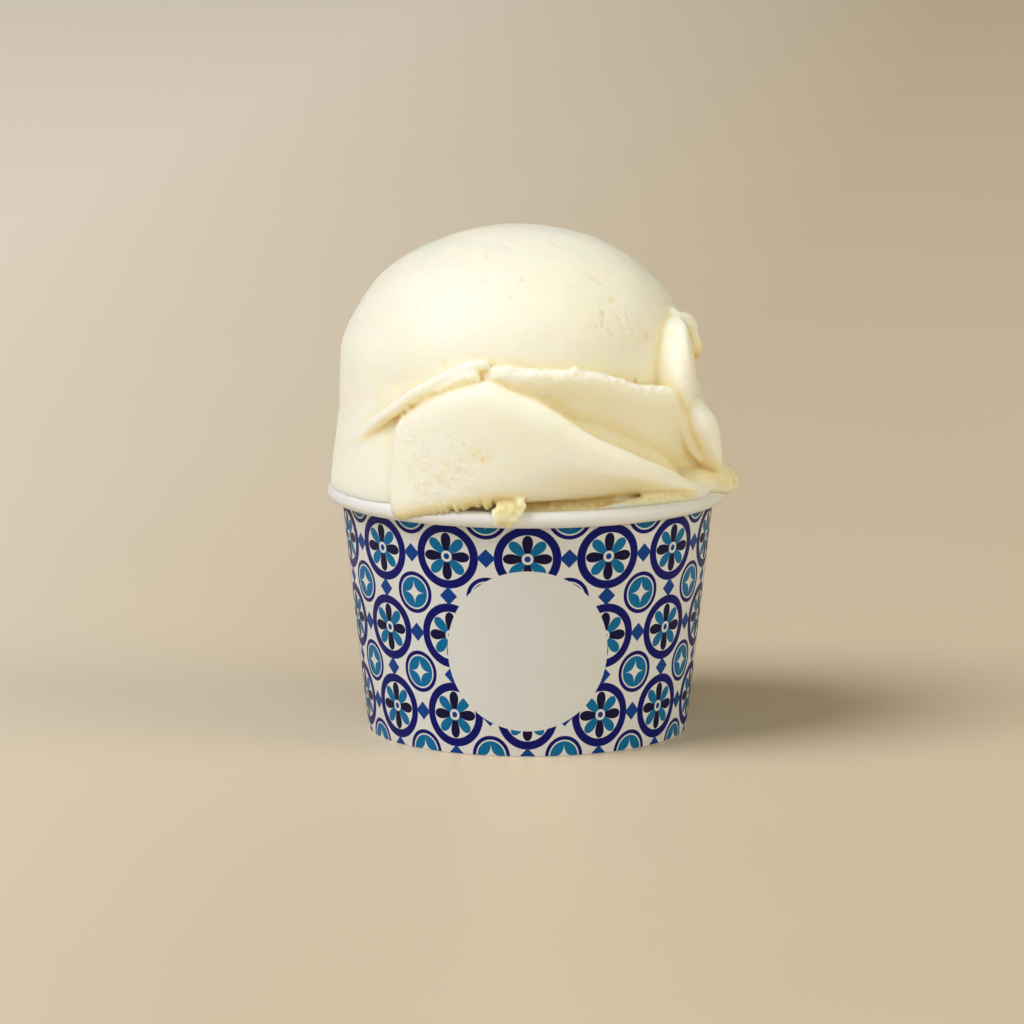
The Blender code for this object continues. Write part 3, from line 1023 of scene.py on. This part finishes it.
# %% Finding places
def skin_now(points):
    """Gives the points back to the mesh, and returns the normals and a tree that rays can be shot at."""
    gelato_fine.data.vertices.foreach_set("co", (points * MM).ravel())
    gelato_fine.data.update()
    normals = np.zeros(count * 3)
    gelato_fine.data.vertices.foreach_get("normal", normals)
    tree = BVHTree.FromObject(gelato_fine, bpy.context.evaluated_depsgraph_get())
    return normals.reshape(-1, 3), tree


def spots(places):
    """The places of the skin at (azimuth, height) pairs, in millimetres."""
    found = []
    for azimuth, height in places:
        start = Vector(at(azimuth, 90.0, height))
        inward = Vector(at(azimuth, -1.0, 0.0)).normalized()
        found.append(skin_tree.ray_cast(start, inward)[0] / MM)
    return np.array(found)


def nearness(line, width):
    """1 on a line of places and 0 beyond the width, for each point of the skin."""
    line = np.array(line)
    steps = [np.linspace(a, b, max(2, int(4 * np.linalg.norm(b - a)))) for a, b in zip(line, line[1:])]
    line = np.concatenate(steps) if steps else line
    near = np.all((points > line.min(0) - width) & (points < line.max(0) + width), axis=1)
    gap = np.min(np.linalg.norm(points[near][:, None] - line[None], axis=2), axis=1)
    fade = np.zeros(count)
    fade[near] = np.clip(1 - gap / width, 0, 1)
    return fade * fade * (3 - 2 * fade)


def press(places, width, depth):
    """A stroke that presses the skin in along its normals, or draws it out where the depth is negative."""
    return points - normals * (nearness(spots(places), width) * depth)[:, None]


def wandering(places, reach):
    """A finer line along the places that strays from them by chance, as a tear does."""
    line = [places[0]]
    for a, b in zip(places, places[1:]):
        pieces = max(2, round(math.dist(a, b) / 0.7))
        for i in range(1, pieces + 1):
            straight = [a[k] + (b[k] - a[k]) * i / pieces for k in range(2)]
            aside = chance.uniform(-1.6, 1.6) * reach
            line.append((straight[0] + aside, straight[1] + chance.uniform(-1, 1) * reach))
    return line


def melt(places, width, rounds):
    """Relaxes the skin along a line only, which takes the edge off a fold."""
    share = nearness(spots(places), width)[:, None]
    return points * (1 - share) + relaxed(points, rounds) * share


normals, skin_tree = skin_now(points)
print("the skin at the front, 70 mm up, is at", spots([(0, 70)]).round(1))

# %% [markdown]
# First the broad work: the leaf melts into the side on the left and leaves a soft valley there, the lip
# fades out, and a crevice runs down the left of the curl and another over the tail. Then a slow
# unevenness is laid over everything, since no hand makes a perfect dome. It is noise read at each point
# and used to move the point along its normal.

# %% Valleys and unevenness
points = melt([(-44, 68), (-44, 62), (-43.5, 56), (-43.5, 51)], 3.6, 120)
points = melt([(-50, 69.6), (-60, 65.4), (-72, 61.4)], 3.0, 24)
CREVICE = [(58.8, 86.8), (57, 84.2), (55.6, 81.2), (54.8, 78.2)]
points = press(CREVICE, 1.2, 0.4)
points = press([(66, 56.4), (71, 54.6), (76, 53.2)], 0.9, 0.3)
points = melt(CREVICE, 1.8, 10)


def ripple(scale, offset=0.0):
    """Smooth noise from -1 to 1 at each point, with features of about the scale in millimetres."""
    return np.array([noise.noise(Vector(p)) for p in points / scale + offset])


normals, skin_tree = skin_now(points)
broad = 0.32 * ripple(13.0) + 0.12 * ripple(4.5, 31.0) + 0.045 * ripple(1.7, 57.0)
points = points + normals * broad[:, None]
print("the unevenness moves the skin by up to", np.abs(broad).max().round(2), "mm")

# %% [markdown]
# Then the small marks of churned, cold gelato: cracks and pits where it tore, blistered patches at the
# left of the leaf, along the torn edges and on the back leaf, and the ragged hem of the leaf, which is
# drawn up and down by a coarser noise. A fine noise breaks up the strokes, so that no crack has an even
# depth.

# %% Cracks and pits
normals, skin_tree = skin_now(points)
CRACKS = [  # azimuth and height of each end or bend, then the width and the depth
    ([(30.6, 92.6), (29.6, 91.2), (28.6, 89.9)], 0.5, 0.6),
    ([(21.5, 89.7), (24.2, 89.4), (26.6, 89.4)], 0.45, 0.35),
    ([(30.3, 88.9), (32.2, 88.3)], 0.5, 0.4),
    ([(35.4, 92.0), (37.0, 91.0)], 0.45, 0.4),
    ([(48.6, 87.3), (49.6, 86.6)], 0.7, 0.5),
    ([(32.6, 98.9), (34.6, 98.2), (35.6, 97.6)], 0.5, 0.45),
    ([(-52.6, 77.8), (-52.3, 73.4), (-52.2, 71.0)], 0.4, 0.2),
    ([(-14.0, 65.2), (-12.4, 64.4), (-10.6, 64.0)], 2.0, 0.35),
    ([(81, 53.7), (83, 53.2)], 1.1, 0.4),
    ([(39.9, 78.2), (41.0, 77.9)], 0.8, 0.5),
    ([(-6.4, 78.9), (-6.0, 78.6)], 0.6, 0.5),
]
PITS = [(-44.8, 93.0), (-26, 103.6), (-18.3, 104.8), (-2.7, 99.0), (-6.5, 96.1), (-19.8, 99.0), (-8.2, 90.8)]
PITS += [(-27.5, 82.8), (-45.0, 77.0), (-65.5, 80.5), (25.0, 104.8), (37.2, 94.5), (47.3, 88.3)]
PITS += [(-76, 76.4), (-77, 68.2)]
for _ in range(14):  # and more round the back
    PITS.append((chance.uniform(95, 262), chance.uniform(60, 99)))
for _ in range(4):
    start = (chance.uniform(110, 250), chance.uniform(82, 98))
    end = (start[0] + chance.uniform(2, 5), start[1] - chance.uniform(0.6, 2.4))
    CRACKS.append(([start, end], 0.5, 0.4))
marks = [(spots(wandering(line, 0.25)), width, depth) for line, width, depth in CRACKS]
for i, pit in enumerate(PITS):
    line = wandering([pit, (pit[0] + 0.9, pit[1] - 0.3)], 0.3)
    marks.append((spots(line), 0.55 + 0.12 * (i % 3), 0.2 + 0.07 * (i % 4)))
torn = np.clip(0.6 + 2.0 * ripple(0.9, 83.0), 0.0, 1.0)
for line, width, depth in marks:
    points = points - normals * (nearness(line, width) * torn * depth)[:, None]
print(len(CRACKS), "cracks and", len(PITS), "pits")

# %% Blisters and the hem
normals, skin_tree = skin_now(points)


def blistered(patch, size, height):
    """Raises round blisters of a size in millimetres where the patch is above 0."""
    raised = np.zeros(count)
    for i in np.flatnonzero(patch > 0):
        raised[i] = 0.45 - noise.voronoi(Vector(points[i] / size))[0][0]
    return points + normals * (patch * raised * height)[:, None]


BLISTERS = [  # places and reach of a patch, then the size and the height of its blisters
    ([(-35, 67), (-32, 60), (-25, 57.5), (-19, 61), (-17, 66)], 8.0, 1.2, 0.45),  # the left of the leaf
    ([(168, 64), (176, 59), (190, 60)], 9.0, 1.2, 0.45),  # the back leaf
    ([(2, 53.6), (20, 53.8), (40, 53.9), (54, 53.6)], 1.8, 1.1, 0.9),  # under the leaf
    ([(76, 56), (84, 55), (92, 54)], 3.6, 1.3, 0.6),  # the tail
    ([(-13, 81.6), (-6, 82.4), (12, 81), (24, 80.2), (36, 77.4), (50, 75.6)], 3.0, 1.4, 0.9),  # the shelf
    ([(-24, 80.2), (-16, 82.2), (-10, 82.6)], 1.8, 1.2, 0.5),  # the end of the lip
    ([(1, 78), (6, 76.6), (11, 74.5)], 3.2, 1.1, 0.5),  # the left of the shelf
    ([(-8, 54), (-4, 53), (-1, 55)], 2.8, 1.1, 0.9),  # the drip
    (SEAM, 1.2, 1.5, 0.9),
    ([(27, 93), (33, 90), (40, 90), (46, 86)], 6.0, 1.5, 0.28),  # by the cracks of the dome
]
for places, reach, size, height in BLISTERS:
    points = blistered(nearness(spots(places), reach), size, height)

azimuths = np.degrees(np.arctan2(points[:, 0], -points[:, 1]))
hem_height = through(azimuths, shifted(LEAF_LOW, 0.3))
at_hem = np.clip(1 - np.abs(points[:, 2] - hem_height) / 2.0, 0, 1)
at_hem *= np.clip((azimuths + 38) / 6, 0, 1) * (azimuths < -8)
at_hem *= np.hypot(points[:, 0], points[:, 1]) > 39.0
ragged = np.array([noise.noise(Vector((a / 2.1, 0.0, 7.0))) for a in azimuths])
ragged += [0.6 * noise.noise(Vector((a / 0.9, 5.0, 7.0))) for a in azimuths]
points[:, 2] += at_hem * ragged * 1.8
points = points + normals * (at_hem * np.abs(ragged) * 0.6)[:, None]
print("points at the hem", int(np.count_nonzero(at_hem)))

# %% [markdown]
# The rest of the gelato fills the cup, where nobody sees it. The skin is cut just under the rim, and its
# open edge is drawn down to the base and closed. Then the skin is thinned out: the Decimate modifier
# keeps more faces where the surface turns, and saves them on the smooth dome.

# %% Fill the cup
CUT_HEIGHT = 44.0
FILL_BOTTOM = BASE_RECESS / MM + 1.0

skin_now(relaxed(points, 1, 0.3))
gelato_bm = bmesh.new()
gelato_bm.from_mesh(gelato_fine.data)
bmesh.ops.bisect_plane(
    gelato_bm,
    geom=gelato_bm.verts[:] + gelato_bm.edges[:] + gelato_bm.faces[:],
    plane_co=(0, 0, CUT_HEIGHT * MM),
    plane_no=(0, 0, 1),
    clear_inner=True,
)
open_edge = [edge for edge in gelato_bm.edges if edge.is_boundary]
drawn = bmesh.ops.extrude_edge_only(gelato_bm, edges=open_edge)["geom"]
for v in drawn:
    if isinstance(v, bmesh.types.BMVert):
        v.co = (*(v.co.xy.normalized() * inside_wall(FILL_BOTTOM) * MM), FILL_BOTTOM * MM)
bottom_edge = [edge for edge in drawn if isinstance(edge, bmesh.types.BMEdge)]
bmesh.ops.contextual_create(gelato_bm, geom=bottom_edge)
bmesh.ops.triangulate(gelato_bm, faces=[face for face in gelato_bm.faces if len(face.verts) > 4])
bmesh.ops.recalc_face_normals(gelato_bm, faces=gelato_bm.faces)
print("open edges left:", sum(edge.is_boundary for edge in gelato_bm.edges))
gelato_bm.to_mesh(gelato_fine.data)
gelato_bm.free()

# %% Thin out
MOST_TRIANGLES = 190000
triangles = sum(len(face.vertices) - 2 for face in gelato_fine.data.polygons)
thinner = gelato_fine.modifiers.new("thin out", "DECIMATE")
thinner.ratio = min(1.0, MOST_TRIANGLES / triangles)
with_modifiers(gelato_fine)
gelato_fine.data.shade_smooth()
print("the gelato had", triangles, "triangles and has", len(gelato_fine.data.polygons))

# %% [markdown]
# ## The finish of the gelato
#
# Light goes a few millimetres into gelato and comes out again, and subsurface scattering gives that. Where
# a hollow sends light from side to side it comes out yellow and dim, and that is painted shade here, laid
# into the base colour. Each point of the skin looks out along a dozen directions, and the share that another
# part of the skin blocks is its shelter. A smoothed copy of the skin that lies outside the skin itself shows
# the small hollows, and the normals show the faces that look down. The cracks and pits are added, and spots
# that are partly melted gelato and partly painted shade. The finish reads the sum as an attribute of painted
# shade and melt, and a second one says where the cold gelato is beaded.

# %% Shelter, hollows and painted shade
one_end, other_end, count, neighbours, points = taken_apart(gelato_fine.data)
normals, skin_tree = skin_now(points)

LOOKS = 14
SHELTER_REACH = 9.0 * MM
golden_turn = math.pi * (3 - math.sqrt(5))
looks = []
for i in range(LOOKS):
    rise = (i + 0.5) / LOOKS
    flat = math.sqrt(1 - rise * rise)
    looks.append(Vector((flat * math.cos(golden_turn * i), flat * math.sin(golden_turn * i), rise)))
shelter = np.zeros(count)
for i in np.flatnonzero(points[:, 2] > CUT_HEIGHT + 2):
    normal = Vector(normals[i])
    start = Vector(points[i] * MM) + normal * (0.05 * MM)
    swing = normal.to_track_quat("Z", "Y")
    met = [skin_tree.ray_cast(start, swing @ look, SHELTER_REACH)[0] is not None for look in looks]
    shelter[i] = sum(met) / LOOKS
shelter = relaxed(shelter[:, None], 4)[:, 0]

# The hollows and the faces that look down are masks for painted shade. Ridges, where the hollow is below 0,
# come out a little lighter.
lift = np.sum((relaxed(points, 40) - points) * normals, axis=1)
hollow = np.clip(around_each(lift[:, None])[:, 0] / 0.5, -0.4, 1)
under = np.clip(-normals[:, 2], 0, 1)
mark = sum(nearness(line, width + 0.2) * depth for line, width, depth in marks)
# Spots of deeper colour. At the drip, the hem and under the leaf they are partly melted gelato and partly
# painted shade. On the tail, the knob, the seam under the lip and in the groove left of the curl they are
# painted shade.
SHADE_AND_MELT_SPOTS = [  # strength, places and reach
    (1.0, [(72, 56), (80, 56), (88, 54), (95, 53)], 9.0),  # the tail
    (1.5, [(85, 82.5), (86, 79)], 3.6),  # the knob
    (1.3, [(-2.2, 54.5), (-6, 53.5), (-6, 51)], 3.6),  # the drip
    (0.8, SEAM, 1.2),
    (0.6, [(53, 74.5), (55, 71), (57, 67), (60, 63)], 1.4),  # the groove left of the curl
    (1.2, [(-38, 50.8), (-28, 52.2), (-16, 54.2), (-8, 55)], 3.4),  # the hem
    (1.5, [(0, 53.6), (12, 53.6), (26, 53.7)], 3.0),  # under the leaf
    (1.1, [(33, 53.7), (46, 53.7), (56, 53.5)], 2.6),
]
CHURNED = [
    (1.0, [(-35, 66), (-31, 59), (-25, 57), (-19, 60), (-17, 65), (-27, 64)], 8.0),
    (0.7, [(-4, 80), (4, 77.6), (11, 74.5), (16, 78)], 4.0),
    (0.5, [(27, 93), (33, 90), (40, 90), (46, 86)], 7.0),
    (1.0, [(168, 64), (176, 59), (190, 60)], 9.0),
]
spot_shade_and_melt = sum(strength * nearness(spots(places), reach) for strength, places, reach in SHADE_AND_MELT_SPOTS)
churned = sum(strength * nearness(spots(places), reach) for strength, places, reach in CHURNED)
# The sum is painted shade and melt. It deepens the base colour where the skin is sheltered, hollow or faces
# down, in the cracks and pits, and at the spots above.
painted_shade_and_melt = np.clip(0.4 * shelter + 0.3 * hollow + 0.35 * under + 0.5 * mark + 0.45 * spot_shade_and_melt, 0, 1)
for name, values in (("painted_shade_and_melt", painted_shade_and_melt), ("churned", np.clip(churned, 0, 1))):
    gelato_fine.data.attributes.new(name, "FLOAT", "POINT").data.foreach_set("value", values)
print("mean shelter", shelter.mean().round(3), "and mean warmth", painted_shade_and_melt.mean().round(3))

# %% Gelato finish
# The base colour runs from the lit cream to painted shade. The deepest tone also stands for melted gelato.
CREAM = screen_colour(250, 245, 230)
CREAM_SHADE_AND_MELT = screen_colour(244, 233, 190)
CREAM_DEEP_SHADE_AND_MELT = screen_colour(221, 196, 128)
gelato_finish, tree, shader = new_material(
    "gelato",
    Subsurface_Weight=1.0,
    Subsurface_Scale=4.0 * MM,
    Specular_IOR_Level=0.35,
    Coat_Roughness=0.25,
)
shader.inputs["Subsurface Radius"].default_value = (1.0, 0.8, 0.5)
place = add_node(tree, "ShaderNodeTexCoord").outputs["Object"]
grain = noise_field(tree, place, 1500.0, 3.0, Roughness=0.6)
clots = noise_field(tree, place, 420.0, 3.0)
swirl = noise_field(tree, place, 70.0, 2.0)
# The painted shade and melt, stirred by a slow swirl of tone, picks the base colour on the ramp.
shade_and_melt_read = add_node(tree, "ShaderNodeAttribute", {"attribute_name": "painted_shade_and_melt"}).outputs["Fac"]
shade_melt_and_swirl = maths(tree, "ADD", shade_and_melt_read, maths(tree, "MULTIPLY_ADD", swirl, 0.2, -0.08), clamp=True)
cream = add_node(tree, "ShaderNodeValToRGB", Fac=shade_melt_and_swirl)
cream.color_ramp.elements[0].color = CREAM
cream.color_ramp.elements[1].color = CREAM_DEEP_SHADE_AND_MELT
middle_stop = cream.color_ramp.elements.new(0.45)
middle_stop.color = CREAM_SHADE_AND_MELT
tree.links.new(cream.outputs["Color"], shader.inputs["Base Color"])
tree.links.new(spread(tree, clots, 0.36, 0.56), shader.inputs["Roughness"])
churned_read = add_node(tree, "ShaderNodeAttribute", {"attribute_name": "churned"}).outputs["Fac"]
cells = add_node(
    tree, "ShaderNodeTexVoronoi", {"feature": "SMOOTH_F1"}, Vector=place, Scale=1300.0, Smoothness=0.3
)
beads = times(times(cells.outputs["Distance"], -2.0), churned_read)
relief = maths(tree, "ADD", maths(tree, "MULTIPLY_ADD", grain, 0.55, beads), clots)
bump = add_node(tree, "ShaderNodeBump", Strength=0.5, Distance=0.2 * MM, Height=relief)
tree.links.new(bump.outputs["Normal"], shader.inputs["Normal"])
gelato_fine.data.materials.append(gelato_finish)
print("the gelato's finish has", len(tree.nodes), "nodes")

# %% Ride
for piece, node_name, slot_name in (
    (cup_wall_fine, "cup_wall", "printed_board"),
    (cup_base_fine, "cup_base", "white_board"),
    (gelato_fine, "gelato", "gelato"),
):
    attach(piece, "root")
    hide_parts(node_name)
